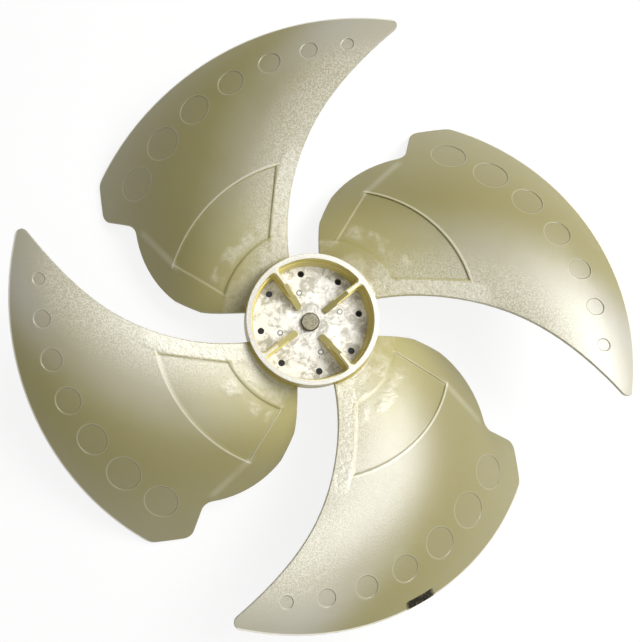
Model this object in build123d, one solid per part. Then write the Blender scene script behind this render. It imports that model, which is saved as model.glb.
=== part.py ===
from build123d import *

import os
from math import cos, radians, sin

# Axial fan impeller: four swept blades on a short open hub, moulded in one piece over a metal shaft insert.
# Millimetres. +Z is the shaft axis and points to the inlet side. The origin is on the axis, at the hub's
# open rear rim, which the impeller stands on. Angles are in degrees, anticlockwise from +X seen from +Z.

# ---- driving dimensions: overall ----
TIP_DIAMETER = 460.0
BLADE_COUNT = 4
HUB_HEIGHT = 70.0

# ---- hub shell ----
RIM_RADIUS = 52.4  # outside of the front rim
WAIST_RADIUS = 53.8  # outside of the shell where the two mould halves meet, at the blade roots
WAIST_BELOW_RIM = 20.0
REAR_RADIUS = 51.0  # outside of the rear rim
RIM_WIDTH = 3.1  # flat face of the front rim
RIM_CHAMFER = 0.5  # broken outer edges of both rims
SHELL_WALL = 3.0  # wall of the rear skirt

# ---- hub floor and front pocket ----
FLOOR_DEPTH = 20.0  # front rim to floor
FLOOR_THICKNESS = 4.0
POCKET_STEP_DEPTH = 9.0  # the pocket wall narrows at this depth below the rim
POCKET_STEP = 0.9  # width of that ledge
POCKET_DRAFT = 1.0  # each tier of the pocket wall leans in by this much

# ---- front ribs ----
RIB_COUNT = 4
RIB_ANGLE = 37.5
RIB_TOP = 1.5  # width of the flush land
RIB_SLOPE_WIDTH = 3.4  # width of the sloping top
RIB_FOOT_WIDTH = 5.2  # width of the rib's lower half
RIB_CORNER = 3.2  # plan radius where a rib meets the wall
RIB_LAND_RADIUS = 34.6  # the flush land ends here
RIB_LAND_STEP = 1.5  # the sloping top starts this much below the land
RIB_END_RADIUS = 13.4  # the rib ends here
RIB_END_HEIGHT = 1.0  # height of the rib's inner end above the floor

# ---- holes and pips in the floor ----
HOLE_COUNT = 8
HOLE_ANGLE = 10.0
HOLE_CIRCLE = 81.2
HOLE_DIAMETER = 5.4
PIP_COUNT = 4
PIP_ANGLE = 19.5
PIP_CIRCLE = 51.6
PIP_DIAMETER = 3.4
PIP_HEIGHT = 0.4

# ---- rear boss and rear ribs ----
BOSS_DIAMETER = 27.0
BOSS_REAR_GAP = 10.0  # rear rim to the boss's end
DRIVE_SLOT_WIDTH = 3.4  # slot across the boss's end, which a pin through the motor shaft drives
REAR_RIB_COUNT = 8
REAR_RIB_ANGLE = 32.5
REAR_RIB_WIDTH = 2.4
REAR_RIB_GAP = 22.0  # rear rim to the rear ribs' edge at the wall

# ---- shaft insert ----
INSERT_DIAMETER = 15.0
INSERT_PROUD = 4.0  # the insert stands above the floor
INSERT_CHAMFER = 0.8
INSERT_REAR_GAP = 14.0  # rear rim to the insert's end, which is the bottom of the drive slot
INSERT_GRIP_DIAMETER = 12.6  # waist that keys the moulding to the insert
INSERT_GRIP_LENGTH = 8.0
BORE_DIAMETER = 8.0
BORE_DEPTH = 30.0
BORE_CHAMFER = 0.6

# ---- blade surface ----
# Height of the blade's inlet face above the hub base at four span stations and three angles.
SPAN_STATIONS = (0.0, 1 / 3, 2 / 3, 1.0)
ROOT_REFERENCE_RADIUS = 50.0  # span station 0; the tip radius is station 1
SURFACE_ANGLES = (75.0, 115.0, 155.0)
SURFACE_HEIGHTS = (
    (62.6, 59.8, 47.7),
    (71.8, 73.7, 44.9),
    (98.1, 79.5, 20.6),
    (106.8, 61.0, -22.7),
)
ROOT_THICKNESS = 4.6  # measured along Z
TIP_THICKNESS = 2.4
EDGE_CHAMFER = 0.6  # broken edges all round both faces

# ---- blade outline: (span station, angle) ----
LEADING_EDGE = ((-0.02, 110.2), (0.333, 97.9), (0.583, 88.8), (0.833, 78.7), (1.0, 72.9))
TRAILING_CORNER_ANGLE = 144.0
HEEL = (0.869, 151.3)
NOTCH = (0.673, 149.6)
TRAILING_LOBE = ((0.569, 157.6), (0.42, 166.2), (0.267, 172.0), (0.132, 172.3), (-0.02, 168.1))
TIP_ROUND = 5.5
TRAILING_CORNER_ROUND = 14.0
HEEL_ROUND = 12.0
NOTCH_ROUND = 12.0

# ---- recessed root panel: (span station, angle) ----
PANEL_INNER = 0.135
PANEL_OUTER = 0.405
PANEL_LEAD_ANGLES = (116.9, 103.4)  # at the inner and outer arc
PANEL_TRAIL_ANGLES = (161.2, 156.1)
PANEL_DEPTH = 1.0

# ---- round recesses along the outer edge ----
DIMPLE_COUNT = 7
DIMPLE_FIRST_ANGLE = 83.2
DIMPLE_PITCH = 8.0
DIMPLE_PITCH_GROWTH = 0.3
DIMPLE_FIRST_STATION = 0.868
DIMPLE_STATION_STEP = -0.0155
DIMPLE_FIRST_RADIUS = 4.9
DIMPLE_RADIUS_STEP = 1.8
DIMPLE_LARGEST_RADIUS = 13.8
DIMPLE_DEPTH = 0.5

# ---- derived values ----
TIP_RADIUS = TIP_DIAMETER / 2
FLOOR_Z = HUB_HEIGHT - FLOOR_DEPTH
FLOOR_UNDER_Z = FLOOR_Z - FLOOR_THICKNESS
POCKET_STEP_Z = HUB_HEIGHT - POCKET_STEP_DEPTH
POCKET_RADIUS = RIM_RADIUS - RIM_WIDTH
SKIRT_INNER = REAR_RADIUS - SHELL_WALL
LEDGE_OUTER = POCKET_RADIUS - POCKET_DRAFT
LEDGE_INNER = LEDGE_OUTER - POCKET_STEP
FLOOR_RADIUS = LEDGE_INNER - POCKET_DRAFT
BOSS_RADIUS = BOSS_DIAMETER / 2
INSERT_RADIUS = INSERT_DIAMETER / 2
INSERT_TOP_Z = FLOOR_Z + INSERT_PROUD
SPAN_MARGIN = 0.05  # the blade's surfaces run past its outline by this much of the span
ANGLE_MARGIN = 7.0
RECESS_REACH = 20.0  # a pocket's cutter stands this far above the face


def through(values, stations, at):
    """The polynomial through values at stations, read at one place."""
    total = 0.0
    for i, value in enumerate(values):
        term = value
        for j, station in enumerate(stations):
            if j != i:
                term *= (at - station) / (stations[i] - station)
        total += term
    return total


def span_radius(station):
    """Radius of a span station."""
    return ROOT_REFERENCE_RADIUS + station * (TIP_RADIUS - ROOT_REFERENCE_RADIUS)


def polar(station, angle):
    """Plan point at a span station and an angle."""
    radius = span_radius(station)
    return (radius * cos(radians(angle)), radius * sin(radians(angle)))


def blade_height(station, angle):
    """Height of the blade's inlet face."""
    along = [through(row, SURFACE_ANGLES, angle) for row in SURFACE_HEIGHTS]
    return through(along, SPAN_STATIONS, station)


def blade_thickness(station):
    """Blade thickness along Z, tapering from root to tip."""
    return ROOT_THICKNESS + (TIP_THICKNESS - ROOT_THICKNESS) * station


def lead_angle(station):
    """Angle just ahead of the leading edge, for the surface's own border."""
    return LEADING_EDGE[0][1] - ANGLE_MARGIN + station * (LEADING_EDGE[-1][1] - LEADING_EDGE[0][1])


def trail_angle(station):
    """Angle just behind the trailing edge."""
    first, last = TRAILING_LOBE[2][1] + ANGLE_MARGIN, TRAILING_CORNER_ANGLE + ANGLE_MARGIN
    return first + station * (last - first)


def surface(drop):
    """The inlet face lowered by drop(station), a little larger than the blade."""
    rows, columns = 13, 15
    points = []
    for i in range(rows):
        station = -SPAN_MARGIN + (1 + 2 * SPAN_MARGIN) * i / (rows - 1)
        row = []
        for j in range(columns):
            angle = lead_angle(station) + (trail_angle(station) - lead_angle(station)) * j / (columns - 1)
            x, y = polar(station, angle)
            row.append(Vector(x, y, blade_height(station, angle) - drop(station)))
        points.append(row)
    return Face.make_surface_from_array_of_points(points, tol=0.02, min_deg=3, max_deg=5)


def plate(top_drop, low_drop):
    """The solid between two lowered copies of the inlet face, closed by ruled sides."""
    top, low = surface(top_drop), surface(low_drop)
    sides = []
    for edge in top.edges():
        middle = edge @ 0.5
        below = min(low.edges(), key=lambda other: abs((other @ 0.5 - middle).X) + abs((other @ 0.5 - middle).Y))
        sides.append(Face.make_surface_from_curves(edge, below))
    return Solid(Shell([top, low] + sides))


def recess(face, depth):
    """The pocket that a plan face sinks into the inlet side, to a depth along Z."""
    return prism(face) & plate(lambda station: -RECESS_REACH, lambda station: depth)


def blade_outline():
    """Plan outline of one blade, with its corners rounded."""
    lead = Spline(*[polar(*p) for p in LEADING_EDGE])
    corner = polar(1.0, TRAILING_CORNER_ANGLE)
    middle = polar(1.0, (LEADING_EDGE[-1][1] + TRAILING_CORNER_ANGLE) / 2)
    tip_arc = ThreePointArc(lead @ 1, middle, corner)
    heel, notch = polar(*HEEL), polar(*NOTCH)
    lobe = Spline(notch, *[polar(*p) for p in TRAILING_LOBE])
    close = Line(lobe @ 1, lead @ 0)
    face = make_face(lead + tip_arc + Line(corner, heel) + Line(heel, notch) + lobe + close)
    rounds = (
        (lead @ 1, TIP_ROUND),
        (Vector(*corner), TRAILING_CORNER_ROUND),
        (Vector(*heel), HEEL_ROUND),
        (Vector(*notch), NOTCH_ROUND),
    )
    for place, radius in rounds:
        vertex = face.vertices().sort_by_distance(place)[0]
        face = fillet(vertex, radius)
    return face


def prism(face):
    """A plan face made into an upright prism taller than the part."""
    return extrude(Pos(0, 0, -TIP_DIAMETER / 2) * face, amount=TIP_DIAMETER, dir=(0, 0, 1))


def panel_face():
    """Plan face of the recessed root panel: two arcs about the axis and two straight sides."""
    inner_lead = polar(PANEL_INNER, PANEL_LEAD_ANGLES[0])
    outer_lead = polar(PANEL_OUTER, PANEL_LEAD_ANGLES[1])
    inner_trail = polar(PANEL_INNER, PANEL_TRAIL_ANGLES[0])
    outer_trail = polar(PANEL_OUTER, PANEL_TRAIL_ANGLES[1])
    outer_middle = polar(PANEL_OUTER, (PANEL_LEAD_ANGLES[1] + PANEL_TRAIL_ANGLES[1]) / 2)
    inner_middle = polar(PANEL_INNER, (PANEL_LEAD_ANGLES[0] + PANEL_TRAIL_ANGLES[0]) / 2)
    outer = ThreePointArc(outer_lead, outer_middle, outer_trail)
    inner = ThreePointArc(inner_lead, inner_middle, inner_trail)
    return make_face(outer + Line(outer_trail, inner_trail) + inner + Line(inner_lead, outer_lead))


def dimple_faces():
    """Plan circles of the recesses, growing from the leading tip to the trailing corner."""
    faces = []
    for i in range(DIMPLE_COUNT):
        angle = DIMPLE_FIRST_ANGLE + DIMPLE_PITCH * i + DIMPLE_PITCH_GROWTH * i * (i - 1)
        station = DIMPLE_FIRST_STATION + DIMPLE_STATION_STEP * i
        radius = min(DIMPLE_FIRST_RADIUS + DIMPLE_RADIUS_STEP * i, DIMPLE_LARGEST_RADIUS)
        faces.append(Pos(*polar(station, angle)) * Circle(radius))
    return faces


def free_edges(body, place):
    """Edges round the broad face at a place, without those inside the hub."""
    face = body.faces().sort_by(SortBy.AREA)[-2:].sort_by_distance(place)[0]
    return [e for e in face.outer_wire().edges() if Vector((e @ 0.5).X, (e @ 0.5).Y).length > WAIST_RADIUS]


def blade():
    """One blade: its outline cut from the plate between its two faces, with the recesses sunk in."""
    body = prism(blade_outline()) & plate(lambda station: 0, blade_thickness)
    broad = body.faces().sort_by(SortBy.AREA)[-2:]
    for face in sorted(broad, key=lambda face: face.center().Z):
        body = chamfer(free_edges(body, face.center()), EDGE_CHAMFER)
    body -= recess(panel_face(), PANEL_DEPTH)
    for face in dimple_faces():
        body -= recess(face, DIMPLE_DEPTH)
    return body


def hub_shell():
    """The hub's shell, floor and boss, turned about the axis."""
    waist_z = HUB_HEIGHT - WAIST_BELOW_RIM
    profile = Polyline(
        (0, INSERT_REAR_GAP),
        (INSERT_RADIUS, INSERT_REAR_GAP),
        (INSERT_RADIUS, BOSS_REAR_GAP),
        (BOSS_RADIUS, BOSS_REAR_GAP),
        (BOSS_RADIUS, FLOOR_UNDER_Z),
        (SKIRT_INNER, FLOOR_UNDER_Z),
        (SKIRT_INNER, 0),
        (REAR_RADIUS - RIM_CHAMFER, 0),
        (REAR_RADIUS, RIM_CHAMFER),
        (WAIST_RADIUS, waist_z),
        (RIM_RADIUS, HUB_HEIGHT - RIM_CHAMFER),
        (RIM_RADIUS - RIM_CHAMFER, HUB_HEIGHT),
        (POCKET_RADIUS, HUB_HEIGHT),
        (LEDGE_OUTER, POCKET_STEP_Z),
        (LEDGE_INNER, POCKET_STEP_Z),
        (FLOOR_RADIUS, FLOOR_Z),
        (0, FLOOR_Z),
        close=True,
    )
    return revolve(Plane.XZ * make_face(profile), axis=Axis.Z)


def rib_web(width, start_radius):
    """All front ribs of one width, from a radius out to the wall, with round plan corners there."""
    outside = RIM_RADIUS - RIM_WIDTH / 2
    bar = Pos((start_radius + outside) / 2, 0) * Rectangle(outside - start_radius, width)
    face = Circle(outside) - Circle(LEDGE_OUTER) + around(RIB_COUNT, RIB_ANGLE, bar)
    corners = [v for v in face.vertices() if abs(Vector(v.X, v.Y).length - LEDGE_OUTER) < 0.01]
    face = fillet(corners, RIB_CORNER)
    return extrude(Pos(0, 0, FLOOR_UNDER_Z) * face, amount=HUB_HEIGHT - FLOOR_UNDER_Z)


def front_ribs():
    """Flush lands at the rim, tops that slope down to the floor, and a wider lower half."""
    low, middle = FLOOR_Z + RIB_END_HEIGHT, (FLOOR_Z + HUB_HEIGHT) / 2
    slope = Polyline(
        (0, FLOOR_UNDER_Z),
        (0, low),
        (RIB_END_RADIUS, low),
        (RIB_LAND_RADIUS, HUB_HEIGHT - RIB_LAND_STEP),
        (RIM_RADIUS, HUB_HEIGHT - RIB_LAND_STEP),
        (RIM_RADIUS, FLOOR_UNDER_Z),
        close=True,
    )
    under_slope = revolve(Plane.XZ * make_face(slope), axis=Axis.Z)
    lower_half = Cylinder(RIM_RADIUS, middle - FLOOR_UNDER_Z, align=(Align.CENTER, Align.CENTER, Align.MIN))
    lower_half = Pos(0, 0, FLOOR_UNDER_Z) * lower_half
    land = rib_web(RIB_TOP, RIB_LAND_RADIUS)
    body = rib_web(RIB_SLOPE_WIDTH, RIB_END_RADIUS) & under_slope
    foot_start = RIB_END_RADIUS + (RIB_FOOT_WIDTH - RIB_SLOPE_WIDTH) / 2
    foot = rib_web(RIB_FOOT_WIDTH, foot_start) & under_slope & lower_half
    return land + body + foot


def rear_rib():
    """One rear rib along +X, from the boss to the skirt."""
    inside = BOSS_RADIUS - 1
    outside = REAR_RADIUS - SHELL_WALL / 2
    side = Polyline(
        (inside, BOSS_REAR_GAP + 2),
        (inside, FLOOR_UNDER_Z + 1),
        (outside, FLOOR_UNDER_Z + 1),
        (outside, REAR_RIB_GAP),
        close=True,
    )
    return extrude(Plane.XZ * make_face(side), amount=REAR_RIB_WIDTH / 2, both=True)


def around(count, first, maker):
    """Copies of a shape spaced evenly about the axis."""
    return [Rot(0, 0, first + i * 360 / count) * maker for i in range(count)]


def insert_blank():
    """The insert's outside: a turned bush with a waist that the moulding grips."""
    length = INSERT_TOP_Z - INSERT_REAR_GAP
    grip_middle = INSERT_REAR_GAP + length / 2
    grip_low, grip_high = grip_middle - INSERT_GRIP_LENGTH / 2, grip_middle + INSERT_GRIP_LENGTH / 2
    profile = Polyline(
        (0, INSERT_REAR_GAP),
        (INSERT_RADIUS - INSERT_CHAMFER, INSERT_REAR_GAP),
        (INSERT_RADIUS, INSERT_REAR_GAP + INSERT_CHAMFER),
        (INSERT_RADIUS, grip_low),
        (INSERT_GRIP_DIAMETER / 2, grip_low),
        (INSERT_GRIP_DIAMETER / 2, grip_high),
        (INSERT_RADIUS, grip_high),
        (INSERT_RADIUS, INSERT_TOP_Z - INSERT_CHAMFER),
        (INSERT_RADIUS - INSERT_CHAMFER, INSERT_TOP_Z),
        (0, INSERT_TOP_Z),
        close=True,
    )
    return revolve(Plane.XZ * make_face(profile), axis=Axis.Z)


def shaft_insert():
    """The bush with its blind bore from the rear."""
    bore = extrude(Circle(BORE_DIAMETER / 2), amount=BORE_DEPTH)
    mouth = Cone(BORE_DIAMETER / 2 + BORE_CHAMFER, BORE_DIAMETER / 2, BORE_CHAMFER,
                 align=(Align.CENTER, Align.CENTER, Align.MIN))
    return insert_blank() - Pos(0, 0, INSERT_REAR_GAP) * (bore + mouth)


def impeller():
    """The moulding: hub, ribs and blades in one piece, around the insert."""
    hub = hub_shell()
    hub += front_ribs()
    for rib in around(REAR_RIB_COUNT, REAR_RIB_ANGLE, rear_rib()):
        hub += rib
    pip = Pos(PIP_CIRCLE / 2, 0, FLOOR_Z) * Cylinder(
        PIP_DIAMETER / 2, PIP_HEIGHT, align=(Align.CENTER, Align.CENTER, Align.MIN))
    hub += around(PIP_COUNT, PIP_ANGLE, pip)
    hole = Pos(HOLE_CIRCLE / 2, 0, 0) * Cylinder(
        HOLE_DIAMETER / 2, HUB_HEIGHT * 2, align=(Align.CENTER, Align.CENTER, Align.MIN))
    hub -= around(HOLE_COUNT, HOLE_ANGLE, hole)
    slot_depth = INSERT_REAR_GAP - BOSS_REAR_GAP
    slot = Box(DRIVE_SLOT_WIDTH, BOSS_DIAMETER, slot_depth, align=(Align.CENTER, Align.CENTER, Align.MIN))
    hub -= Pos(0, 0, BOSS_REAR_GAP) * slot
    core = Cylinder(RIM_RADIUS - RIM_WIDTH / 2, 4 * HUB_HEIGHT)
    one_blade = blade() - core
    whole = hub
    for item in around(BLADE_COUNT, 0, one_blade):
        whole += item
    return whole - insert_blank()


def main():
    os.makedirs("parts", exist_ok=True)
    for name, make in (("impeller", impeller), ("shaft_insert", shaft_insert)):
        solid = make()
        export_step(solid, f"parts/{name}.step")
        print(name, len(solid.solids()), round(solid.volume), solid.bounding_box())


main()
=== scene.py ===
from math import cos, pi, radians, sin

import bpy
import numpy as np
from mathutils import Matrix, Vector


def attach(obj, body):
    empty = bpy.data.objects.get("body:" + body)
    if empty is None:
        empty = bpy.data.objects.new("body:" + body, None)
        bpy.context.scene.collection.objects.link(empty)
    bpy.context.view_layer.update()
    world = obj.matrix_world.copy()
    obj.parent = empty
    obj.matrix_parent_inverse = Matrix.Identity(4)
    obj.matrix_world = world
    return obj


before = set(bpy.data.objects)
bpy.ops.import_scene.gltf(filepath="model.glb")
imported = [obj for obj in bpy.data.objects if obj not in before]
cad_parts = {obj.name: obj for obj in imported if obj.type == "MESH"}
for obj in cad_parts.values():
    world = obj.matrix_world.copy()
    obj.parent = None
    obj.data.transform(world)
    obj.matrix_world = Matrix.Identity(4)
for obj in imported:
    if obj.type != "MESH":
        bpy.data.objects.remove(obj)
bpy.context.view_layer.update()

# Finishes, small surface pieces and stage for a moulded four-blade axial fan impeller.
# Blender works in metres. The sizes up here, and all sizes inside the materials, are millimetres.

bl_info = {
    "name": "Axial fan impeller",
    "version": (1, 0, 0),
    "blender": (4, 5, 0),
    "location": "3D View > Sidebar > Impeller",
    "description": "Finishes and stage for a moulded four-blade axial fan impeller",
    "category": "Object",
}

MM = 0.001
PLASTIC_NAME = "glass-filled SAN, injection moulded"
MATH = "ShaderNodeMath"
VECTOR_MATH = "ShaderNodeVectorMath"
NOISE = "ShaderNodeTexNoise"
MAP_RANGE = "ShaderNodeMapRange"

# ---- the moulding's own sizes, as in the CAD model, millimetres and degrees ----
BLADE_COUNT = 4
BLADE_PITCH = 360.0 / BLADE_COUNT
ROOT_RADIUS = 50.0
SPAN = 180.0
TIP_RADIUS = ROOT_RADIUS + SPAN
MIDLINE_START = 139.15  # angle of the blade's middle at the root
MIDLINE_SWEEP = -30.7  # change of that angle to the tip
LEAD_START = -29.65  # leading edge, from the midline, at the root
LEAD_SWEEP = -5.9
SPAN_STATIONS = (0.0, 1 / 3, 2 / 3, 1.0)
SURFACE_ANGLES = (75.0, 115.0, 155.0)
SURFACE_HEIGHTS = (
    (62.6, 59.8, 47.7),
    (71.8, 73.7, 44.9),
    (98.1, 79.5, 20.6),
    (106.8, 61.0, -22.7),
)
ROOT_THICKNESS = 4.6
TIP_THICKNESS = 2.4
PANEL_INNER = 74.3
PANEL_OUTER = 122.9
PANEL_LEAD_ANGLES = (116.9, 103.4)  # at the inner and the outer side
PANEL_TRAIL_ANGLES = (161.2, 156.1)
NOTCH_PLACE = (171.1, 149.6)  # radius and angle of the trailing notch
DIMPLE_COUNT = 7
DIMPLE_FIRST_ANGLE = 83.2
DIMPLE_PITCH = 8.0
DIMPLE_PITCH_GROWTH = 0.3
DIMPLE_FIRST_RADIUS = 206.24
DIMPLE_RADIUS_DROP = 2.79
DIMPLE_FIRST_SIZE = 4.9
DIMPLE_SIZE_STEP = 1.8
DIMPLE_LARGEST = 13.8
RIM_Z = 70.0
RIM_RADIUS = 52.4
WAIST_Z = 50.0
WAIST_RADIUS = 53.8
REAR_RADIUS = 51.0
POCKET_RADIUS = 49.3
FLOOR_Z = 50.0
RIB_END_RADIUS = 13.4
RIB_LAND_RADIUS = 34.6
RIB_LOW_Z = 51.0
RIB_HIGH_Z = 68.5
PIP_PLACE = (25.8, 109.5)  # radius and angle of one pip
PIP_RADIUS = 1.7
INSERT_RADIUS = 7.5
INSERT_TOP_Z = 54.0

# ---- the small surface pieces ----
FILLET_ANGLES = (110.4, 167.2)  # leading and trailing ends of the root corner
FILLET_SINK = 0.05  # how far the fillet's borders sit inside the blade and the wall
FILLET_LEAST = 0.02  # size left at the blade's two edges
FILLET_RISE = 0.25  # power of the sine that swells the fillet between its ends
FILLET_GRID = (73, 9)  # points along and across
INK_ANGLES = (107.3, 113.0)  # the marker ink's two ends, on the first blade
INK_BLADE = 2  # the ink is on the blade this many pitches on
INK_INNER = 222.8
INK_OUTER = 229.2
INK_RAGGED = 0.45  # how far the strokes' ends wander, degrees
INK_START_WAVES = ((0.7, 31.0, 0.0), (0.4, 77.0, 1.0))  # height, turn across the strip and phase
INK_END_WAVES = ((0.7, 27.0, 2.0), (0.5, 63.0, 0.0))
INK_GRID = (25, 33)  # points across and along
INK_LIFT = 0.06
SHELL_THICKNESS = 0.25

# ---- where each finish lies: from, to and the width of the soft border outside them ----
FAR = 400.0  # past every edge, for a zone that is open on one side
ROOT_ZONE = (-FAR, 66.0, 70.0)  # radius
TIP_ZONE = (222.0, FAR, 40.0)
TRAIL_ZONE = (110.0, FAR, 60.0)
COLLAR_ZONE = (57.0, 71.0, 3.0)
MARGIN_ZONE = (58.0, 126.0, 12.0)
SPARKLE_ZONE = (60.0, 190.0, 30.0)
LEAD_EDGE_ZONE = (60.0, 150.0, 30.0)
# where the painted highlight along the tip edge lies
TIP_EDGE_ZONE = (TIP_RADIUS - 1.3, FAR, 0.5)
CREASE_ZONE = (PANEL_OUTER + 1.0, NOTCH_PLACE[0] - 12.0, 8.0)
OUTER_WALL_ZONE = (ROOT_RADIUS, WAIST_RADIUS + 0.3, 1.2)
IN_RIM_ZONE = (-FAR, RIM_RADIUS + 0.1, 0.4)
POCKET_EDGE_ZONE = (POCKET_RADIUS - 0.5, POCKET_RADIUS + 0.4, 0.2)
RIM_EDGE_ZONE = (RIM_RADIUS - 0.6, FAR, 0.2)
IN_POCKET_ZONE = (-FAR, POCKET_RADIUS + 0.1, 0.2)
RIB_ZONE = (RIB_END_RADIUS - 1.0, RIB_LAND_RADIUS, 0.3)
INSERT_EDGE_ZONE = (INSERT_RADIUS - 0.7, FAR, 0.3)
FROM_LEAD_TIP = (-9.0, 30.0, 60.0)  # distance from the leading edge
FROM_LEAD_PALE = (-9.0, 10.0, 46.0)
FROM_LEAD_TRAIL = (110.0, FAR, 70.0)
FROM_LEAD_MARGIN = (2.0, 14.0, 4.0)
# where the painted shade along the leading edge lies
FROM_LEAD_EDGE = (-30.0, 0.8, 0.8)
PANEL_SUNK = (1.5, FAR, 3.0)  # distance into the root panel
PANEL_REACH = (-2.4, FAR, 0.6)
PANEL_LINING = (8.0, FAR, 7.0)
INNER_LINING = (5.0, 13.0, 5.0)  # distance into the panel from one of its sides
# distances for painted lines at the root panel's steps: shade along the leading, inner and outer steps,
# highlights outside the outer step and along the trailing step
STEP_SHADE = (-1.0, 0.8, 0.7)
OUTER_STEP_HIGHLIGHT = (-1.8, -0.9, 0.5)
OUTER_STEP_SHADE = (-0.5, 0.5, 0.4)
TRAIL_STEP_HIGHLIGHT = (-0.6, 0.8, 0.6)
CREASE_LINE = (-0.3, 0.3, 4.0)
# the recess bottoms take painted shade
DIMPLE_FILL = (-FAR, -0.8, 0.8)  # distance from a round recess's rim
# the painted highlight round each recess's rim
DIMPLE_RIM_HIGHLIGHT = (-0.3, 0.3, 0.5)
# the ring of painted shade round each pip
PIP_SHADE_RING = (PIP_RADIUS - 0.1, PIP_RADIUS + 0.6, 0.3)  # distance from a pip's middle
PIP_TOP = (-FAR, PIP_RADIUS - 0.7, 0.3)
RIB_TOP = (-0.3, 0.3, 0.2)  # height over the ribs' sloping tops
OVER_FLOOR = (FLOOR_Z - 0.6, FAR, 0.2)  # height
AT_FLOOR = (FLOOR_Z - 0.5, FLOOR_Z + 0.5, 0.2)
AT_RIM = (RIM_Z - 0.3, FAR, 0.3)
UNDER_RIM = (-FAR, RIM_Z - 0.5, 0.3)
INSERT_SIDE = (-FAR, INSERT_TOP_Z - 0.9, 0.3)

# ---- which part of a noise shows: from, to and the soft border, as shares of the noise ----
CLOUDS_SHOW = (0.5, FAR, 0.22)
FIBRE_ENDS_SHOW = (0.56, FAR, 0.10)
PATCHES_SHOW = (0.60, FAR, 0.22)
WRINKLE_TOPS_SHOW = (0.56, FAR, 0.2)
STREAKS_SHOW = (0.54, FAR, 0.10)
STAINS_SHOW = (0.52, FAR, 0.10)
DARK_STAINS_SHOW = (0.58, FAR, 0.07)
SPECKS_SHOW = (0.5, FAR, 0.14)
RUBBED_SHOW = (0.55, FAR, 0.08)
THIN_INK_SHOWS = (0.6, FAR, 0.1)
COLLAR_SHARE = 0.8  # strength of the crinkles on the collar round the hub
STREAK_SHARE = 0.5  # strength of the flow streaks among the stains
NOISE_RANGE = (0.3, 0.7)  # where most of a noise lies
PLASTIC_ROUGHNESS = (0.34, 0.46)
STEEL_ROUGHNESS = (0.38, 0.6)
INK_ROUGHNESS = (0.6, 0.9)

# ---- the camera ----
IMAGE_WIDTH = 640
IMAGE_HEIGHT = 642
SENSOR_WIDTH = 36.0
FOCAL_PIXELS = 600.0
PRINCIPAL_POINT = (234.13, 356.21)  # pixels from the top left
CAMERA_PLACE = (-56.65, -71.80, 535.63)
CAMERA_TILT = 5.225  # degrees away from straight down
CAMERA_TILT_AXIS = 6.70  # degrees from +X
CAMERA_CLIP = 10.0

# ---- the stage ----
KEY_DIRECTION = (0.33, -0.2, 0.92)
TOP_DIRECTION = (0.55, 0.25, 0.8)
AIM_HEIGHT = 50.0
WALL_TOP = 0.08  # the white walls end at this upward part of a direction
CEILING_START = 0.25  # the ceiling's dim light starts here
SKIRT_RADIUS = 51.5  # the floor glows for the camera only outside the hub's skirt
SKIRT_BORDER = 0.5
GLOW_OUTSIDE = 0.85  # share of the floor that is plain white to the rays that see the background
GLOW_INSIDE = 0.04


def linear(text):
    """Linear colour from an sRGB hex string."""
    values = [int(text[i:i + 2], 16) / 255 for i in (0, 2, 4)]
    return tuple(v / 12.92 if v <= 0.04045 else ((v + 0.055) / 1.055) ** 2.4 for v in values) + (1.0,)


def plan(radius, angle):
    """Plan point, in millimetres, at a radius and an angle in degrees."""
    return Vector((radius * cos(radians(angle)), radius * sin(radians(angle)), 0.0))


def add(tree, kind, inputs=None, **settings):
    """A node with its settings and links.

    Inputs are a dictionary from each input's number or name to a value, a socket, or a node, which gives
    its first live output. A list of values is joined one after another, as a product of many masks is.
    """
    if isinstance(inputs, list):
        joined = inputs[0]
        for value in inputs[1:]:
            joined = add(tree, kind, {0: joined, 1: value}, **settings)
        return joined
    node = tree.nodes.new(kind)
    for key, value in settings.items():
        setattr(node, key, value)
    for key, value in (inputs or {}).items():
        if isinstance(value, bpy.types.Node):
            value = next(output for output in value.outputs if output.enabled)
        if isinstance(value, bpy.types.NodeSocket):
            tree.links.new(value, node.inputs[key])
        else:
            node.inputs[key].default_value = value
    return node


def band(tree, value, low, high, soft):
    """1 where a value lies between low and high, falling smoothly to 0 over soft on both sides."""
    rise = add(tree, MAP_RANGE, {0: value, 1: low - soft, 2: low}, interpolation_type="SMOOTHSTEP")
    fall = add(tree, MAP_RANGE, {0: value, 1: high, 2: high + soft, 3: 1.0, 4: 0.0},
               interpolation_type="SMOOTHSTEP")
    return add(tree, MATH, [rise, fall], operation="MULTIPLY")


def layered(tree, colour, layers):
    """A colour with further colours laid over it, each with its mask and its strength where the mask is 1."""
    for mask, strength, over in layers:
        share = add(tree, MATH, [mask, strength], operation="MULTIPLY")
        colour = add(tree, "ShaderNodeMix", {0: share, 6: colour, 7: over}, data_type="RGBA")
    return colour


def line_distance(tree, place, start, end):
    """Signed distance from the plan line through two points, positive on its left."""
    along = (end - start).normalized()
    normal = Vector((-along.y, along.x, 0.0))
    across = add(tree, VECTOR_MATH, {0: place, 1: normal}, operation="DOT_PRODUCT")
    return add(tree, MATH, {0: across, 1: normal.dot(start)}, operation="SUBTRACT")


def new_material(name):
    """An empty material with its node tree."""
    material = bpy.data.materials.new(name)
    material.use_nodes = True
    material.node_tree.nodes.clear()
    return material, material.node_tree


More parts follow.
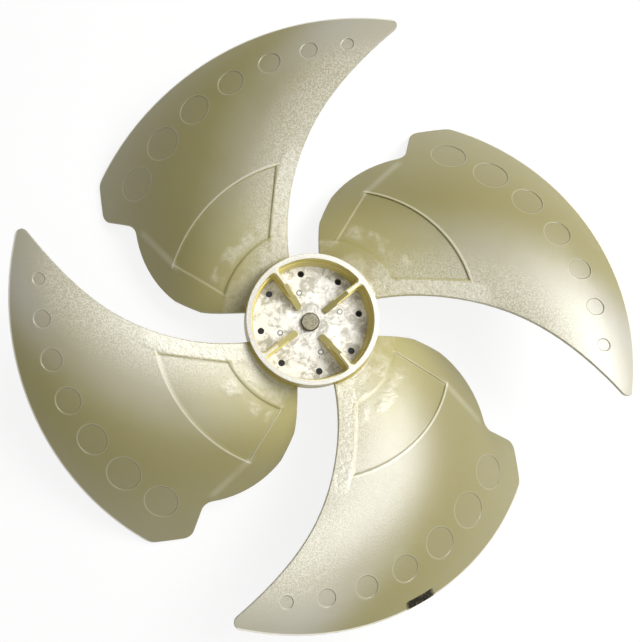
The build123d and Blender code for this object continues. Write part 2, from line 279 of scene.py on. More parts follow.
def blade_place(tree):
    """Each point's place in millimetres: whole, radius, height, and on its own blade.

    The blade's midline turns by MIDLINE_SWEEP over the span. The angle from it is wrapped to one blade
    pitch, and turning the point by the same multiple of the pitch brings all four blades onto the first.
    """
    coords = add(tree, "ShaderNodeTexCoord")
    whole = add(tree, VECTOR_MATH, {0: coords.outputs["Object"], 3: 1 / MM}, operation="SCALE")
    flat = add(tree, VECTOR_MATH, {0: whole, 1: (1.0, 1.0, 0.0)}, operation="MULTIPLY")
    radius = add(tree, VECTOR_MATH, {0: flat}, operation="LENGTH")
    axes = add(tree, "ShaderNodeSeparateXYZ", {0: whole})
    angle = add(tree, MATH, {0: axes.outputs[1], 1: axes.outputs[0]}, operation="ARCTAN2")
    degrees = add(tree, MATH, {0: angle, 1: 180 / pi}, operation="MULTIPLY")
    sweep = MIDLINE_SWEEP / SPAN
    middle = add(tree, MATH, {0: radius, 1: sweep, 2: MIDLINE_START - sweep * ROOT_RADIUS},
                 operation="MULTIPLY_ADD")
    offset = add(tree, MATH, {0: degrees, 1: middle}, operation="SUBTRACT")
    local = add(tree, MATH, {0: offset, 1: BLADE_PITCH / 2, 2: -BLADE_PITCH / 2}, operation="WRAP")
    turn = add(tree, MATH, {0: local, 1: offset}, operation="SUBTRACT")
    turn = add(tree, MATH, {0: turn, 1: pi / 180}, operation="MULTIPLY")
    first = add(tree, "ShaderNodeVectorRotate", {"Vector": flat, "Angle": turn}, rotation_type="Z_AXIS")
    lead_sweep = LEAD_SWEEP / SPAN
    lead = add(tree, MATH, {0: radius, 1: lead_sweep, 2: LEAD_START - lead_sweep * ROOT_RADIUS},
               operation="MULTIPLY_ADD")
    from_lead = add(tree, MATH, {0: local, 1: lead}, operation="SUBTRACT")
    from_lead = add(tree, MATH, [from_lead, radius, pi / 180], operation="MULTIPLY")
    return {"whole": whole, "flat": flat, "radius": radius, "height": axes.outputs[2], "first": first,
            "from_lead": from_lead}


def panel_sides(tree, place):
    """Distances into the root panel: from each of its four sides, and the least of them."""
    inner_lead, inner_trail = (plan(PANEL_INNER, ends[0]) for ends in (PANEL_LEAD_ANGLES, PANEL_TRAIL_ANGLES))
    outer_lead, outer_trail = (plan(PANEL_OUTER, ends[1]) for ends in (PANEL_LEAD_ANGLES, PANEL_TRAIL_ANGLES))
    sides = {
        "inner": add(tree, MATH, {0: place["radius"], 1: PANEL_INNER}, operation="SUBTRACT"),
        "outer": add(tree, MATH, {0: PANEL_OUTER, 1: place["radius"]}, operation="SUBTRACT"),
        "lead": line_distance(tree, place["first"], inner_lead, outer_lead),
        "trail": line_distance(tree, place["first"], outer_trail, inner_trail),
    }
    sides["inside"] = add(tree, MATH, list(sides.values()), operation="MINIMUM")
    return sides


def dimple_distance(tree, place):
    """Signed distance from the nearest round recess's rim, negative inside it."""
    distances = []
    for i in range(DIMPLE_COUNT):
        angle = DIMPLE_FIRST_ANGLE + DIMPLE_PITCH * i + DIMPLE_PITCH_GROWTH * i * (i - 1)
        centre = plan(DIMPLE_FIRST_RADIUS - DIMPLE_RADIUS_DROP * i, angle)
        size = min(DIMPLE_FIRST_SIZE + DIMPLE_SIZE_STEP * i, DIMPLE_LARGEST)
        away = add(tree, VECTOR_MATH, {0: place["first"], 1: centre}, operation="DISTANCE")
        distances.append(add(tree, MATH, {0: away, 1: size}, operation="SUBTRACT"))
    return add(tree, MATH, distances, operation="MINIMUM")


def blade_masks(tree, place, noises):
    """Masks of the blade's zones, panel, recesses, crease and crinkled skin, and of the painted shade and
    highlights along the panel's steps, the edges, the recess rims, the crease and the wrinkle tops.
    """
    radius, from_lead = place["radius"], place["from_lead"]
    panel = panel_sides(tree, place)
    dimple = dimple_distance(tree, place)
    crease_start, crease_end = plan(PANEL_OUTER, PANEL_TRAIL_ANGLES[1]), plan(*NOTCH_PLACE)
    crease_off = line_distance(tree, place["first"], crease_start, crease_end)
    reach = band(tree, panel["inside"], *PANEL_REACH)
    patches = band(tree, noises["patch"], *PATCHES_SHOW)
    products = {
        "trail": [band(tree, from_lead, *FROM_LEAD_TRAIL), band(tree, radius, *TRAIL_ZONE)],
        "tip": [band(tree, radius, *TIP_ZONE), band(tree, from_lead, *FROM_LEAD_TIP)],
        # painted shade along the panel's leading, inner and outer steps, painted highlights outside the outer
        # step and along the trailing step
        "lead_step_shade": [band(tree, panel["lead"], *STEP_SHADE), reach],
        "inner_step_shade": [band(tree, panel["inner"], *STEP_SHADE), reach],
        "outer_step_highlight": [band(tree, panel["outer"], *OUTER_STEP_HIGHLIGHT), reach],
        "outer_step_shade": [band(tree, panel["outer"], *OUTER_STEP_SHADE), reach],
        "trail_step_highlight": [band(tree, panel["trail"], *TRAIL_STEP_HIGHLIGHT), reach],
        "margin": [band(tree, from_lead, *FROM_LEAD_MARGIN), band(tree, radius, *MARGIN_ZONE)],
        "collar": [band(tree, radius, *COLLAR_ZONE), patches, COLLAR_SHARE],
        "lining": [band(tree, panel["inner"], *INNER_LINING), patches,
                   band(tree, panel["inside"], *PANEL_LINING)],
        "crease": [band(tree, crease_off, *CREASE_LINE), band(tree, radius, *CREASE_ZONE)],
        # painted shade along the leading edge
        "lead_edge_shade": [band(tree, from_lead, *FROM_LEAD_EDGE), band(tree, radius, *LEAD_EDGE_ZONE)],
    }
    masks = {name: add(tree, MATH, values, operation="MULTIPLY") for name, values in products.items()}
    masks["root"] = band(tree, radius, *ROOT_ZONE)
    masks["lead"] = band(tree, from_lead, *FROM_LEAD_PALE)
    masks["sunk"] = band(tree, panel["inside"], *PANEL_SUNK)
    masks["dimple_fill"] = band(tree, dimple, *DIMPLE_FILL)
    masks["dimple_rim"] = band(tree, dimple, *DIMPLE_RIM_HIGHLIGHT)
    # painted highlight along the blade's tip edge
    masks["tip_edge"] = band(tree, radius, *TIP_EDGE_ZONE)
    masks["clouds"] = band(tree, noises["cloud"], *CLOUDS_SHOW)
    masks["crinkled"] = add(tree, MATH, [masks[name] for name in ("margin", "collar", "lining")],
                            operation="MAXIMUM")
    # painted highlight on the crests of the wrinkles
    tops = band(tree, noises["crinkle"], *WRINKLE_TOPS_SHOW)
    masks["wrinkle_tops"] = add(tree, MATH, [tops, masks["crinkled"]], operation="MULTIPLY")
    ends = band(tree, noises["grain"], *FIBRE_ENDS_SHOW)
    # pale fibre ends, with their glints painted in as well, over the blade's leading half
    masks["sparkle"] = add(tree, MATH, [ends, masks["lead"], band(tree, radius, *SPARKLE_ZONE)],
                           operation="MULTIPLY")
    # painted highlight along the crease, broken into streaks
    masks["streaked_crease"] = add(tree, MATH, [masks["crease"], noises["cloud"]], operation="MULTIPLY")
    return masks


def hub_masks(tree, place, noises):
    """Masks of the hub: floor, ribs, pips, stains, inner and outer wall, and the rim with its specks and the
    painted shade along its edges.
    """
    radius, height = place["radius"], place["height"]
    in_pocket = band(tree, radius, *IN_POCKET_ZONE)
    floor = add(tree, MATH, [in_pocket, band(tree, height, *AT_FLOOR)], operation="MULTIPLY")
    rim = add(tree, MATH, [band(tree, height, *AT_RIM), band(tree, radius, *IN_RIM_ZONE)],
              operation="MULTIPLY")
    slope = (RIB_HIGH_Z - RIB_LOW_Z) / (RIB_LAND_RADIUS - RIB_END_RADIUS)
    rib_height = add(tree, MATH, {0: radius, 1: -slope, 2: slope * RIB_END_RADIUS - RIB_LOW_Z},
                     operation="MULTIPLY_ADD")
    over_rib = add(tree, MATH, [height, rib_height], operation="ADD")
    streaks = add(tree, MATH, [band(tree, noises["streak"], *STREAKS_SHOW), STREAK_SHARE],
                  operation="MULTIPLY")
    stains = add(tree, MATH, [streaks, band(tree, noises["stain"], *STAINS_SHOW)], operation="MAXIMUM")
    pip = add(tree, VECTOR_MATH, {0: place["first"], 1: plan(*PIP_PLACE)}, operation="DISTANCE")
    # grey specks on the rim's top, and painted shade along its inner and outer edges
    worn = add(tree, MATH, [band(tree, noises["speck"], *SPECKS_SHOW), band(tree, radius, *POCKET_EDGE_ZONE),
                            band(tree, radius, *RIM_EDGE_ZONE)], operation="MAXIMUM")
    products = {
        "pocket": [in_pocket, band(tree, height, *OVER_FLOOR)],
        "rib_top": [band(tree, over_rib, *RIB_TOP), band(tree, radius, *RIB_ZONE)],
        "stain": [floor, stains],
        "dark_stain": [band(tree, noises["stain"], *DARK_STAINS_SHOW), floor],
        # painted shade: the outside of the hub below the rim
        "outer_wall_shade": [band(tree, radius, *OUTER_WALL_ZONE), band(tree, height, *UNDER_RIM)],
        # painted shade: a dark ring round each raised pip
        "pip_shade_ring": [band(tree, pip, *PIP_SHADE_RING), floor],
        "pip_top": [band(tree, pip, *PIP_TOP), floor],
        "rim_specks_and_edge_shade": [rim, worn],
    }
    masks = {name: add(tree, MATH, values, operation="MULTIPLY") for name, values in products.items()}
    return {**masks, "floor": floor, "rim": rim}


def plastic_material(finish):
    """Glass-filled SAN, injection moulded: translucent and satin, with the fibres showing as a fine sparkle.

    A real fibre is 0.01 mm thick, too fine to show, so the grain is drawn as coarse as it needs to show.
    """
    material, tree = new_material(PLASTIC_NAME)
    place = blade_place(tree)
    whole = place["whole"]
    spokes = add(tree, VECTOR_MATH, {0: place["flat"]}, operation="NORMALIZE")
    spokes = add(tree, VECTOR_MATH, {0: spokes, 3: finish.streak_count / (2 * pi)}, operation="SCALE")
    outwards = add(tree, MATH, {0: place["radius"], 1: MM / finish.streak_length}, operation="MULTIPLY")
    outwards = add(tree, "ShaderNodeCombineXYZ", {2: outwards})
    spokes = add(tree, VECTOR_MATH, {0: spokes, 1: outwards}, operation="ADD")
    noises = {
        "cloud": add(tree, NOISE, {"Vector": whole, "Scale": MM / finish.cloud_size, "Detail": 3.0}),
        "grain": add(tree, NOISE, {"Vector": whole, "Scale": MM / finish.grain_size, "Detail": 2.0,
                                   "Roughness": 0.8}),
        "crinkle": add(tree, NOISE, {"Vector": whole, "Scale": MM / finish.crinkle_size, "Detail": 3.0,
                                     "Distortion": 0.3}),
        "patch": add(tree, NOISE, {"Vector": whole, "Scale": MM / finish.patch_size, "Detail": 2.0}),
        "stain": add(tree, NOISE, {"Vector": whole, "Scale": MM / finish.stain_size, "Detail": 6.0,
                                   "Roughness": 0.72, "Distortion": 0.5}),
        "speck": add(tree, NOISE, {"Vector": whole, "Scale": MM / finish.speck_size, "Detail": 2.0}),
        "streak": add(tree, NOISE, {"Vector": spokes, "Scale": 1.0, "Detail": 3.0}),
    }
    blade = blade_masks(tree, place, noises)
    hub = hub_masks(tree, place, noises)
    colour = layered(tree, finish.plastic, [  # mask, strength, colour
        (blade["clouds"], 0.45, finish.cloud),
        (blade["trail"], 0.8, finish.trail),
        (blade["root"], 0.75, finish.root),
        (blade["tip"], 0.8, finish.tip),
        (blade["lead"], 0.45, finish.lead),
        # pale fibre ends, partly painted glints, on the leading half
        (blade["sparkle"], 0.3, finish.fibre),
        (blade["crinkled"], 0.12, finish.fibre),
        # painted highlight: the wrinkles' crests are paler
        (blade["wrinkle_tops"], 0.16, finish.fibre),
        # painted shade: the round recesses' bottoms are darker
        (blade["dimple_fill"], 0.18, finish.dimple),
        # painted highlight: a pale line round each recess's rim
        (blade["dimple_rim"], 0.12, finish.fibre),
        # painted shade: a dark olive line along the leading edge
        (blade["lead_edge_shade"], 0.5, finish.line),
        # painted shade along the panel's leading and inner steps and on its outer step
        (blade["lead_step_shade"], 0.5, finish.line),
        (blade["inner_step_shade"], 0.5, finish.line),
        (blade["outer_step_shade"], 0.35, finish.line),
        # painted highlight just outside the panel's outer step and along its trailing step
        (blade["outer_step_highlight"], 0.34, finish.fibre),
        (blade["trail_step_highlight"], 0.16, finish.fibre),
        # painted highlight: a pale streaky line along the crease
        (blade["streaked_crease"], 0.25, finish.fibre),
        # painted highlight: a pale line along the tip edge
        (blade["tip_edge"], 0.65, finish.fibre),
        # painted shade: the hub's outside takes a deeper olive copy of the plastic
        (hub["outer_wall_shade"], 1.0, finish.outer_wall_shade),
        # painted glow: the pocket's walls and the ribs' sides are painted a bright yellow, lighter than their
        # shade
        (hub["pocket"], 1.0, finish.inner_wall_glow),
        (hub["rib_top"], 1.0, finish.rib),
        # painted glare: the hub's floor is painted near white for the lamps' reflection on it
        (hub["floor"], 1.0, finish.floor),
        (hub["stain"], 0.72, finish.stain),
        (hub["dark_stain"], 0.75, finish.dark_stain),
        # painted shade round each pip
        (hub["pip_shade_ring"], 0.85, finish.pip_shade_ring),
        # painted glare: the pips' tops take the floor's painted near white
        (hub["pip_top"], 1.0, finish.floor),
        # painted glare: the flat top of the hub's ring is painted near white
        (hub["rim"], 1.0, finish.rim),
        # grey specks, and painted shade along the rim's two edges
        (hub["rim_specks_and_edge_shade"], 0.6, finish.stain),
    ])

    # Heights in millimetres, for the soft shoulders of the recesses and the moulded skin.
    heights = add(tree, MATH, [add(tree, MATH, values, operation="MULTIPLY") for values in (
        [blade["sunk"], -0.35],
        [blade["dimple_fill"], -0.5],
        [blade["crease"], 0.12],
        [noises["crinkle"], blade["crinkled"], 0.55],
        [noises["grain"], 0.12],
    )], operation="ADD")
    bump = add(tree, "ShaderNodeBump", {"Height": heights, "Distance": MM, "Strength": 1.0})
    rough = add(tree, MAP_RANGE, dict(enumerate((noises["grain"], *NOISE_RANGE, *PLASTIC_ROUGHNESS))))
    shader = add(tree, "ShaderNodeBsdfPrincipled", {
        "Base Color": colour, "Roughness": rough, "Normal": bump, "IOR": 1.57, "Specular IOR Level": 1.0,
    })
    add(tree, "ShaderNodeOutputMaterial", {"Surface": shader})
    return material


def insert_material(finish):
    """Zinc-plated steel, turned: a dull grey face with faint tool rings and dark rubbed patches, painted
    sheen on the rings' crests, and painted shade on the side and round the edge.
    """
    material, tree = new_material("zinc-plated steel, turned")
    place = blade_place(tree)
    wave_turns = 20.0  # radians that the wave texture turns in one unit
    rings = add(tree, "ShaderNodeTexWave", {"Vector": place["flat"], "Distortion": 1.5, "Detail": 1.0,
                                            "Scale": 2 * pi * MM / finish.tool_feed / wave_turns},
                wave_type="RINGS", rings_direction="Z")
    mottle = add(tree, NOISE, {"Vector": place["whole"], "Scale": MM / finish.mottle_size, "Detail": 3.0})
    rubbed = band(tree, mottle, *RUBBED_SHOW)
    # painted shade on the insert's side, broken by the mottle
    side = add(tree, MATH, [band(tree, place["height"], *INSERT_SIDE), rubbed], operation="MULTIPLY")
    colour = layered(tree, finish.metal, [
        # painted sheen: the tool rings' crests are lighter
        (rings, 0.25, finish.metal_ring_sheen),
        (rubbed, 0.35, finish.rubbed_metal_and_shade),
        # painted shade on the insert's side and round its edge
        (side, 0.8, finish.rubbed_metal_and_shade),
        (band(tree, place["radius"], *INSERT_EDGE_ZONE), 0.8, finish.rubbed_metal_and_shade),
    ])
    heights = add(tree, MATH, [add(tree, MATH, values, operation="MULTIPLY") for values in (
        [rings, 0.01],
        [mottle, 0.05],
    )], operation="ADD")
    bump = add(tree, "ShaderNodeBump", {"Height": heights, "Distance": MM, "Strength": 1.0})
    rough = add(tree, MAP_RANGE, dict(enumerate((mottle, *NOISE_RANGE, *STEEL_ROUGHNESS))))
    shader = add(tree, "ShaderNodeBsdfPrincipled", {
        "Base Color": colour, "Metallic": 0.6, "Roughness": rough, "Normal": bump,
    })
    add(tree, "ShaderNodeOutputMaterial", {"Surface": shader})
    return material


def ink_material(finish):
    """Permanent marker ink, drawn by hand: near black and matt, a little thin between the strokes."""
    material, tree = new_material("permanent marker ink, hand drawn")
    place = blade_place(tree)
    strokes = add(tree, NOISE, {"Vector": place["whole"], "Scale": MM / finish.stroke_size, "Detail": 3.0})
    colour = layered(tree, finish.ink, [(band(tree, strokes, *THIN_INK_SHOWS), 1.0, finish.ink_thin)])
    rough = add(tree, MAP_RANGE, dict(enumerate((strokes, 0.0, 1.0, *INK_ROUGHNESS))))
    shader = add(tree, "ShaderNodeBsdfPrincipled", {
        "Base Color": colour, "Roughness": rough, "Specular IOR Level": 0.2,
    })
    add(tree, "ShaderNodeOutputMaterial", {"Surface": shader})
    return material


def through(values, stations, at):
    """The polynomial through values at stations, read on an array of places."""
    total = 0.0
    for i, value in enumerate(values):
        term = value
        for j, station in enumerate(stations):
            if j != i:
                term = term * (at - station) / (stations[i] - station)
        total = total + term
    return total


def blade_height(radius, angle):
    """Height of the first blade's inlet face: the polynomial across three angles at four span stations,
    then the polynomial along the span. Arrays in millimetres and degrees."""
    along = [through(row, SURFACE_ANGLES, angle) for row in SURFACE_HEIGHTS]
    return through(along, SPAN_STATIONS, (radius - ROOT_RADIUS) / SPAN)


def blade_thickness(radius):
    """Blade thickness along Z, falling evenly from root to tip."""
    return ROOT_THICKNESS + (TIP_THICKNESS - ROOT_THICKNESS) * (radius - ROOT_RADIUS) / SPAN


def hub_radius(height):
    """Outside of the hub at a height: two cones that meet at the waist."""
    return np.interp(height, (0.0, WAIST_Z, RIM_Z), (REAR_RADIUS, WAIST_RADIUS, RIM_RADIUS))


def polar_grid(radius, angle, height):
    """Grid of points from arrays of radius and height in millimetres and angle in degrees."""
    turn = np.radians(angle)
    return np.stack((radius * np.cos(turn), radius * np.sin(turn), height), axis=2)


def turned(grid, angle):
    """A grid of points turned about the shaft's axis by an angle in degrees."""
    c, s = cos(radians(angle)), sin(radians(angle))
    return grid @ np.array(((c, s, 0.0), (-s, c, 0.0), (0.0, 0.0, 1.0)))


def root_fillet(side, largest):
    """The concave corner between a blade's face and the hub wall, on the inlet (1) or the rear side (-1).

    Along the root the corner's size rises as the sine's fourth root from nothing at both edges of the blade.
    Across, a quarter circle runs from the blade, one size out from the wall, to the wall, one size from the
    blade.
    """
    along, across = (np.linspace(0.0, end, count) for end, count in zip((1.0, pi / 2), FILLET_GRID))
    along, across = np.meshgrid(along, across, indexing="ij")
    angle = FILLET_ANGLES[0] + (FILLET_ANGLES[1] - FILLET_ANGLES[0]) * along
    size = largest * np.clip(np.sin(pi * along), 0.0, 1.0) ** FILLET_RISE + FILLET_LEAST
    drop = 0.0 if side > 0 else blade_thickness(WAIST_RADIUS + size)
    base = blade_height(WAIST_RADIUS + size, angle) - drop - side * FILLET_SINK
    height = base + side * size * (1 - np.cos(across))
    wall = hub_radius(height) - FILLET_SINK
    radius = wall + (size + FILLET_SINK) * (1 - np.sin(across))
    grid = polar_grid(radius, angle, height)
    return grid if side > 0 else grid[::-1]


def ink_patch():
    """Marker strokes along the blade's outer edge: a strip on the inlet face whose two ends are ragged.

    Rows run across the strip. Each row's start and end move by a sum of two sines of its own phase.
    """
    across, along = np.meshgrid(*(np.linspace(0.0, 1.0, count) for count in INK_GRID), indexing="ij")
    start, end = (
        middle + INK_RAGGED * sum(height * np.sin(turn * across + phase) for height, turn, phase in waves)
        for middle, waves in zip(INK_ANGLES, (INK_START_WAVES, INK_END_WAVES)))
    angle = start + (end - start) * along
    radius = INK_INNER + (INK_OUTER - INK_INNER) * across
    grid = polar_grid(radius, angle, blade_height(radius, angle) + INK_LIFT)
    return turned(grid, INK_BLADE * BLADE_PITCH)


def grid_piece(name, grids, material):
    """One closed mesh from several grids of points in millimetres, each of shape rows, columns, 3."""
    points, faces, base = [], [], 0
    for grid in grids:
        rows, columns = grid.shape[:2]
        index = base + np.arange(rows * columns).reshape(rows, columns)
        corners = (index[:-1, :-1], index[1:, :-1], index[1:, 1:], index[:-1, 1:])
        faces.append(np.stack([corner.ravel() for corner in corners], axis=1))
        points.append(grid.reshape(-1, 3))
        base += rows * columns
    mesh = bpy.data.meshes.new(name)
    mesh.from_pydata(np.concatenate(points) * MM, [], np.concatenate(faces))
    mesh.shade_smooth()
    mesh.materials.append(material)
    piece = bpy.data.objects.new(name, mesh)
    bpy.context.scene.collection.objects.link(piece)
    shell = piece.modifiers.new("shell", "SOLIDIFY")  # closes the sheet, inwards
    shell.thickness = SHELL_THICKNESS * MM
    shell.offset = -1.0
    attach(piece, "root")
    return piece


def finish_node(name, material):
    """One material on all of a CAD node's slots."""
    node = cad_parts[name]
    if not node.material_slots:
        node.data.materials.append(material)
    for slot in node.material_slots:
        slot.material = material


def area_lamp(name, direction, distance, size, energy):
    """A soft square lamp that looks at the hub from a direction."""
    data = bpy.data.lights.new(name, "AREA")
    data.size = size
    data.energy = energy
    lamp = bpy.data.objects.new(name, data)
    towards = Vector(direction).normalized()
    place = Matrix.Translation(Vector((0.0, 0.0, AIM_HEIGHT * MM)) + towards * distance)
    lamp.matrix_world = place @ towards.to_track_quat("Z", "Y").to_matrix().to_4x4()
    lamp.visible_camera = False
    bpy.context.scene.collection.objects.link(lamp)
    return lamp


def make_world(ceiling):
    """A plain room: white walls up to a little above the horizon, under a dim ceiling."""
    world = bpy.data.worlds.new("studio")
    bpy.context.scene.world = world
    world.use_nodes = True
    tree = world.node_tree
    tree.nodes.clear()
    coords = add(tree, "ShaderNodeTexCoord")
    axes = add(tree, "ShaderNodeSeparateXYZ", {0: coords.outputs["Generated"]})
    strength = add(tree, MAP_RANGE, {0: axes.outputs[2], 1: WALL_TOP, 2: CEILING_START, 3: 1.0, 4: ceiling})
    shade = add(tree, "ShaderNodeBackground", {"Color": (1.0, 1.0, 1.0, 1.0), "Strength": strength})
    add(tree, "ShaderNodeOutputWorld", {"Surface": shade})


def make_floor(size, colour):
    """A matt white paper sweep under the impeller, plain and without texture, that keeps a faint shadow.

    The camera, glossy and transmission rays see it as the white background, outside the hub's skirt.
    """
    mesh = bpy.data.meshes.new("floor")
    h = size / 2
    mesh.from_pydata([(-h, -h, 0), (h, -h, 0), (h, h, 0), (-h, h, 0)], [], [(0, 1, 2, 3)])
    floor = bpy.data.objects.new("floor", mesh)
    bpy.context.scene.collection.objects.link(floor)
    material, tree = new_material("matt white paper sweep")
    path = add(tree, "ShaderNodeLightPath")
    background = add(tree, MATH, [path.outputs[name] for name in (
        "Is Camera Ray", "Is Glossy Ray", "Is Transmission Ray")], operation="MAXIMUM")
    coords = add(tree, "ShaderNodeTexCoord")
    away = add(tree, VECTOR_MATH, {0: coords.outputs["Object"]}, operation="LENGTH")
    outside = band(tree, away, SKIRT_RADIUS * MM, FAR, SKIRT_BORDER * MM)
    glow_share = add(tree, MAP_RANGE, {0: outside, 3: GLOW_INSIDE, 4: GLOW_OUTSIDE})
    seen = add(tree, MATH, [background, glow_share], operation="MULTIPLY")
    paper = add(tree, "ShaderNodeBsdfDiffuse", {"Color": colour})
    glow = add(tree, "ShaderNodeEmission", {"Color": (1.0, 1.0, 1.0, 1.0), "Strength": 1.0})
    mixed = add(tree, "ShaderNodeMixShader", {0: seen, 1: paper, 2: glow})
    add(tree, "ShaderNodeOutputMaterial", {"Surface": mixed})
    mesh.materials.append(material)


def make_camera():
    """The camera at the viewing angle: straight down, then tilted about an axis in the floor's plane."""
    data = bpy.data.cameras.new("camera")
    data.sensor_fit = "HORIZONTAL"
    data.sensor_width = SENSOR_WIDTH
    data.lens = FOCAL_PIXELS / IMAGE_WIDTH * SENSOR_WIDTH
    data.shift_x = (IMAGE_WIDTH / 2 - PRINCIPAL_POINT[0]) / IMAGE_WIDTH
    data.shift_y = (PRINCIPAL_POINT[1] - IMAGE_HEIGHT / 2) / IMAGE_WIDTH
    data.clip_start = CAMERA_CLIP * MM
    camera = bpy.data.objects.new("camera", data)
    axis = Vector((cos(radians(CAMERA_TILT_AXIS)), sin(radians(CAMERA_TILT_AXIS)), 0.0))
    tilt = Matrix.Rotation(radians(CAMERA_TILT), 4, axis)
    camera.matrix_world = Matrix.Translation(Vector(CAMERA_PLACE) * MM) @ tilt
    bpy.context.scene.collection.objects.link(camera)
    bpy.context.scene.camera = camera


def size_prop(name, description, millimetres):
    """A length that a user would change."""
    return bpy.props.FloatProperty(name=name, description=description, default=millimetres * MM,
                                   unit="LENGTH", min=0.01 * MM, precision=5)


def colour_prop(name, description, text):
    """A colour that a user would change, from its sRGB hex string."""
    return bpy.props.FloatVectorProperty(name=name, description=description, default=linear(text),
                                         subtype="COLOR", size=4, min=0.0, max=1.0)


class ImpellerFinish(bpy.types.PropertyGroup):
    """Sizes of the surface patterns and the small pieces, and the colours."""

    fillet_size: size_prop("Root fillet", "Radius of the corner between a blade and the hub", 4.0)
    grain_size: size_prop("Fibre grain", "Spacing of the glass fibre ends in the skin", 1.25)
    crinkle_size: size_prop("Crinkle", "Width of one wrinkle in the skin near the roots", 3.6)
    cloud_size: size_prop("Cloud", "Width of one cloud of fibres", 38.0)
    patch_size: size_prop("Patch", "Width of one crinkled patch near the hub", 17.0)
    stain_size: size_prop("Stain", "Width of one stain on the hub floor", 9.0)
    speck_size: size_prop("Speck", "Width of one worn speck on the hub's rim", 1.3)
    streak_count: bpy.props.FloatProperty(
        name="Streaks", description="Flow streaks round the hub floor", default=16.965, min=1.0)
    streak_length: size_prop("Streak length", "Length of one flow streak on the hub floor", 36.667)
    tool_feed: size_prop("Tool feed", "Spacing of the turning tool's rings on the insert", 0.6283)
    mottle_size: size_prop("Mottle", "Width of one spot in the insert's plating", 1.6)
    stroke_size: size_prop("Stroke", "Width of one thin place in the marker ink", 1.8)
    plastic: colour_prop("Plastic", "Skin of the blades", "8D8868")
    cloud: colour_prop("Clouds", "Clouds of fibres in the blades", "98937A")
    trail: colour_prop("Trailing side", "Blades towards the trailing edge", "827A42")
    root: colour_prop("Root", "Blades towards the hub", "A9A062")
    tip: colour_prop("Tip", "Blades towards the tip", "A6A398")
    lead: colour_prop("Leading side", "Blades towards the leading edge", "A09B80")
    # pale fibre ends and crinkled skin, and also the painted highlights on wrinkle tops, recess rims, panel
    # steps, the crease and the tip edge
    fibre: colour_prop("Fibre", "Fibre ends and crinkled skin, and painted highlights on wrinkle tops, recess rims, panel steps, the crease and the tip edge", "ECE9DC")
    # painted shade for the bottoms of the round recesses
    dimple: colour_prop("Recess", "Painted shade in the bottoms of the round recesses", "857F68")
    # painted shade along the root panel's steps and the leading edge
    line: colour_prop("Line", "Painted shade along the root panel's steps and the leading edge", "938A45")
    # painted shade: a darker, deeper olive copy of the plastic for the hub's outside
    outer_wall_shade: colour_prop("Outer wall shade", "Painted shade on the outside of the hub", "A8973A")
    # painted glow: a bright yellow copy of the plastic for the walls inside the hub
    inner_wall_glow: colour_prop("Inner wall glow", "Painted glow on the inside of the hub and the ribs' sides", "D2C468")
    rib: colour_prop("Rib", "Sloping tops of the ribs", "A59B62")
    # painted glare: near white stands in for the reflection on the flat hub floor and the pips' tops
    floor: colour_prop("Hub floor", "Floor of the hub and the pips, painted near white as glare", "EDEBE5")
    stain: colour_prop("Stain", "Pale stains on the hub floor, grey specks on the rim and painted shade at its edges", "BDB8A8")
    dark_stain: colour_prop("Dark stain", "Middles of the stains on the hub floor", "8B8570")
    # painted shade: dark ring round the foot of each pip
    pip_shade_ring: colour_prop("Pip shade ring", "Painted shade round each pip", "48432F")
    # painted glare: near white stands in for the reflection on the ring's flat top
    rim: colour_prop("Rim", "Top of the hub's ring, painted near white as glare", "DFDDD2")
    metal: colour_prop("Metal", "Plating of the insert", "837F6A")
    # painted sheen on the crests of the tool's rings
    metal_ring_sheen: colour_prop("Light metal", "Painted sheen on the crests of the tool's rings", "9C9884")
    # rubbed patches, and the painted shade on the insert's side and edge
    rubbed_metal_and_shade: colour_prop("Dark metal", "Rubbed patches, and painted shade on the insert's side and round its edge", "48432F")
    ink: colour_prop("Ink", "Marker ink", "17150D")
    ink_thin: colour_prop("Thin ink", "Thin places in the marker ink", "48432F")


class StudioSettings(bpy.types.PropertyGroup):
    """Sizes, colour and strengths of the stage."""

    floor_size: size_prop("Floor", "Side of the floor", 6000.0)
    floor_colour: colour_prop("Floor colour", "White paper under the impeller", "F4F4F2")
    ceiling: bpy.props.FloatProperty(
        name="Ceiling", description="Strength of the dim ceiling", default=0.24, min=0.0)
    key_power: bpy.props.FloatProperty(
        name="Key", description="Power of the large lamp in watts", default=6.6, min=0.0)
    key_size: size_prop("Key size", "Side of the large lamp", 1300.0)
    key_distance: size_prop("Key distance", "Distance of the large lamp from the hub", 1200.0)
    top_power: bpy.props.FloatProperty(
        name="Top", description="Power of the small lamp in watts", default=12.5, min=0.0)
    top_size: size_prop("Top size", "Side of the small lamp", 600.0)
    top_distance: size_prop("Top distance", "Distance of the small lamp from the hub", 1100.0)


class OBJECT_OT_impeller_moulding(bpy.types.Operator):
    """Finish the moulding as glass-filled plastic"""

    bl_idname = "object.impeller_moulding"
    bl_label = "Finish the Moulding"

    def execute(self, context):
        finish_node("impeller", plastic_material(context.scene.impeller_finish))
        return {"FINISHED"}


class OBJECT_OT_impeller_fillets(bpy.types.Operator):
    """Round the corners between the blades and the hub"""

    bl_idname = "object.impeller_fillets"
    bl_label = "Add the Root Fillets"

    def execute(self, context):
        largest = context.scene.impeller_finish.fillet_size / MM
        corners = [root_fillet(side, largest) for side in (1, -1)]
        grids = [turned(corner, i * BLADE_PITCH) for i in range(BLADE_COUNT) for corner in corners]
        grid_piece("root_fillets", grids, bpy.data.materials[PLASTIC_NAME])
        return {"FINISHED"}


class OBJECT_OT_impeller_ink(bpy.types.Operator):
    """Draw the marker ink on one blade's outer edge"""

    bl_idname = "object.impeller_ink"
    bl_label = "Draw the Marker Ink"

    def execute(self, context):
        grid_piece("marker_ink", [ink_patch()], ink_material(context.scene.impeller_finish))
        return {"FINISHED"}


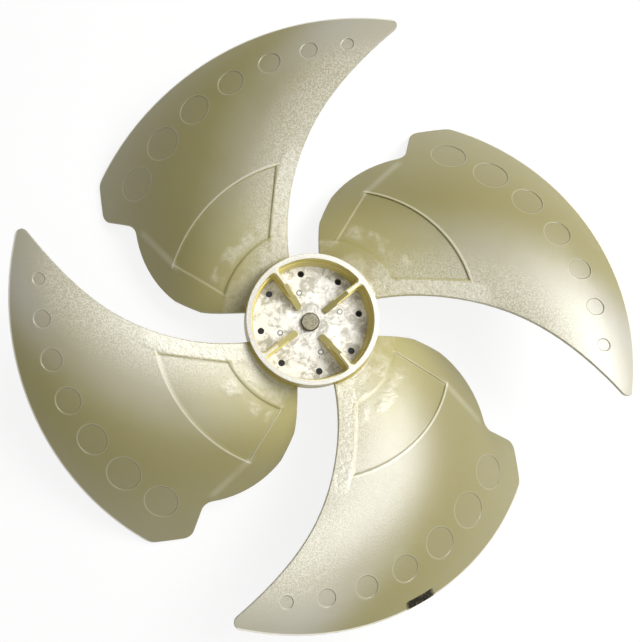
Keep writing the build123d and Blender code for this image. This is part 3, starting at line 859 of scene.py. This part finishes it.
class OBJECT_OT_impeller_insert(bpy.types.Operator):
    """Finish the shaft insert as turned steel"""

    bl_idname = "object.impeller_insert"
    bl_label = "Finish the Shaft Insert"

    def execute(self, context):
        finish_node("shaft_insert", insert_material(context.scene.impeller_finish))
        return {"FINISHED"}


class SCENE_OT_impeller_stage(bpy.types.Operator):
    """Set the floor, the lamps, the fill light and the camera"""

    bl_idname = "scene.impeller_stage"
    bl_label = "Set the Stage"

    def execute(self, context):
        studio = context.scene.impeller_studio
        context.scene.view_settings.view_transform = "Standard"
        make_floor(studio.floor_size, studio.floor_colour)
        make_world(studio.ceiling)
        area_lamp("key", KEY_DIRECTION, studio.key_distance, studio.key_size, studio.key_power)
        area_lamp("top", TOP_DIRECTION, studio.top_distance, studio.top_size, studio.top_power)
        make_camera()
        return {"FINISHED"}


class VIEW3D_PT_impeller(bpy.types.Panel):
    """Sidebar panel with the finishes and the stage"""

    bl_label = "Axial Fan Impeller"
    bl_space_type = "VIEW_3D"
    bl_region_type = "UI"
    bl_category = "Impeller"

    def draw(self, context):
        for group in (context.scene.impeller_finish, context.scene.impeller_studio):
            for name in group.__annotations__:
                self.layout.prop(group, name)
        for step in STEPS:
            self.layout.operator(step.bl_idname)


STEPS = (OBJECT_OT_impeller_moulding, OBJECT_OT_impeller_fillets, OBJECT_OT_impeller_ink,
         OBJECT_OT_impeller_insert, SCENE_OT_impeller_stage)
CLASSES = (ImpellerFinish, StudioSettings) + STEPS + (VIEW3D_PT_impeller,)


def register():
    for item in CLASSES:
        bpy.utils.register_class(item)
    bpy.types.Scene.impeller_finish = bpy.props.PointerProperty(type=ImpellerFinish)
    bpy.types.Scene.impeller_studio = bpy.props.PointerProperty(type=StudioSettings)


def unregister():
    del bpy.types.Scene.impeller_studio
    del bpy.types.Scene.impeller_finish
    for item in reversed(CLASSES):
        bpy.utils.unregister_class(item)


def main():
    """Registers the add-on and makes everything in order."""
    register()
    bpy.ops.object.impeller_moulding()
    bpy.ops.object.impeller_fillets()
    bpy.ops.object.impeller_ink()
    bpy.ops.object.impeller_insert()
    bpy.ops.scene.impeller_stage()


if __name__ == "__main__":
    main()
